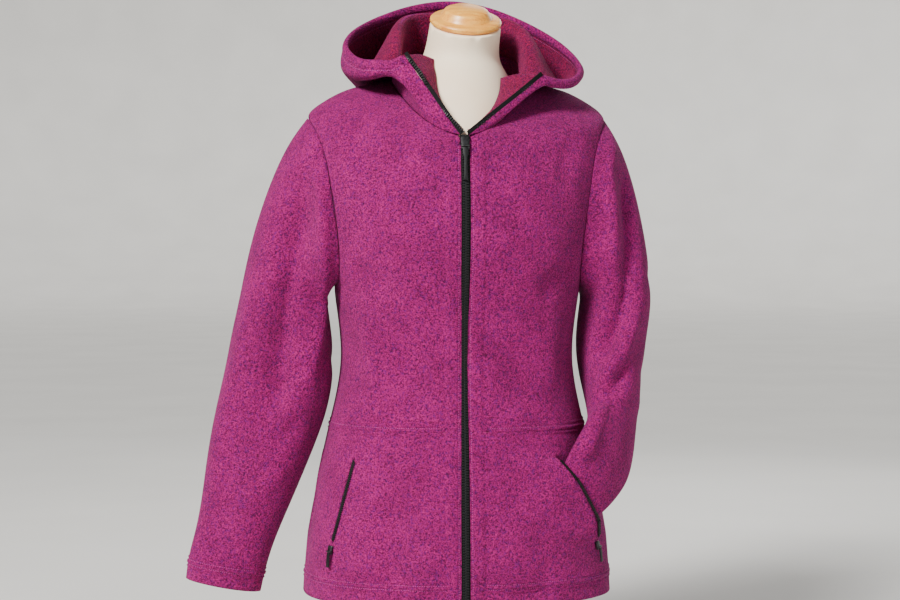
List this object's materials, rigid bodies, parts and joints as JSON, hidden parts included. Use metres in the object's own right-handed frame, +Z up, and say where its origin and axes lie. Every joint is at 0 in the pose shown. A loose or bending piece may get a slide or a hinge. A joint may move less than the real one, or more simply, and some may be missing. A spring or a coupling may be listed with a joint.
{
  "type": "boiled wool hooded jacket on a limbless dress form",
  "caption": "Hooded hip-length jacket of boiled wool with a front zip and slanted zip pockets, worn by a limbless dress form with a turned neck cap on a low stand.",
  "frame": {"origin": "centre of the stand's base, on the surface it stands on", "axes": "+Z up along the form's pole, -Y out of the jacket's zipped front, +X to the wearer's left, where the sleeve is tucked in the pocket"},
  "size_m": [0.6347, 0.3151, 0.9739],
  "materials": {
    "boiled_wool": "felted wool, matt, short nap, magenta melange",
    "hood_lining_wool": "felted wool, inner side, redder and more hairy",
    "zip_plastic": "black moulded zip teeth on woven tape",
    "zip_metal": "black enamelled slider",
    "zip_pull_plastic": "black moulded pull",
    "form_cover": "smooth stretched cream jersey",
    "turned_wood": "light tan hardwood, turned and lacquered",
    "stand_wood": "light tan hardwood, turned and lacquered",
    "stand_metal": "dark painted steel tube"
  },
  "bodies": {
    "jacket_on_form": {"front_right_upper": "boiled_wool", "front_left_upper": "boiled_wool", "front_right_lower": "boiled_wool", "front_left_lower": "boiled_wool", "back_upper": "boiled_wool", "back_lower": "boiled_wool", "sleeve_right": "boiled_wool", "sleeve_left": "boiled_wool", "hood_outer": "boiled_wool", "hood_lining": "hood_lining_wool", "zip_chain": "zip_plastic", "zip_half_right": "zip_plastic", "zip_half_left": "zip_plastic", "zip_slider": "zip_metal", "zip_end_box": "zip_plastic", "pocket_zip_right": "zip_plastic", "pocket_zip_left": "zip_plastic", "pocket_slider_right": "zip_metal", "pocket_slider_left": "zip_metal", "form_torso": "form_cover", "form_neck_cap": "turned_wood", "form_pole": "stand_metal", "form_base": "stand_wood"},
    "zip_pull": {"zip_pull": "zip_pull_plastic"},
    "pocket_pull_right": {"pocket_pull_right": "zip_pull_plastic"},
    "pocket_pull_left": {"pocket_pull_left": "zip_pull_plastic"}
  },
  "joints": [
    {"name": "zip_pull_hinge", "type": "hinge", "parent": "jacket_on_form", "child": "zip_pull", "pos_m": [0, -0.13974, 0.75361], "axis": [1, 0, 0], "range_deg": [-150, 0]},
    {"name": "pocket_pull_right_hinge", "type": "hinge", "parent": "jacket_on_form", "child": "pocket_pull_right", "pos_m": [-0.17573, -0.09547, 0.22692], "axis": [0.676, -0.7339, -0.0666], "range_deg": [-150, 0]},
    {"name": "pocket_pull_left_hinge", "type": "hinge", "parent": "jacket_on_form", "child": "pocket_pull_left", "pos_m": [0.18399, -0.08568, 0.22698], "axis": [0.5796, 0.7866, 0.2131], "range_deg": [-150, 0]}
  ]
}
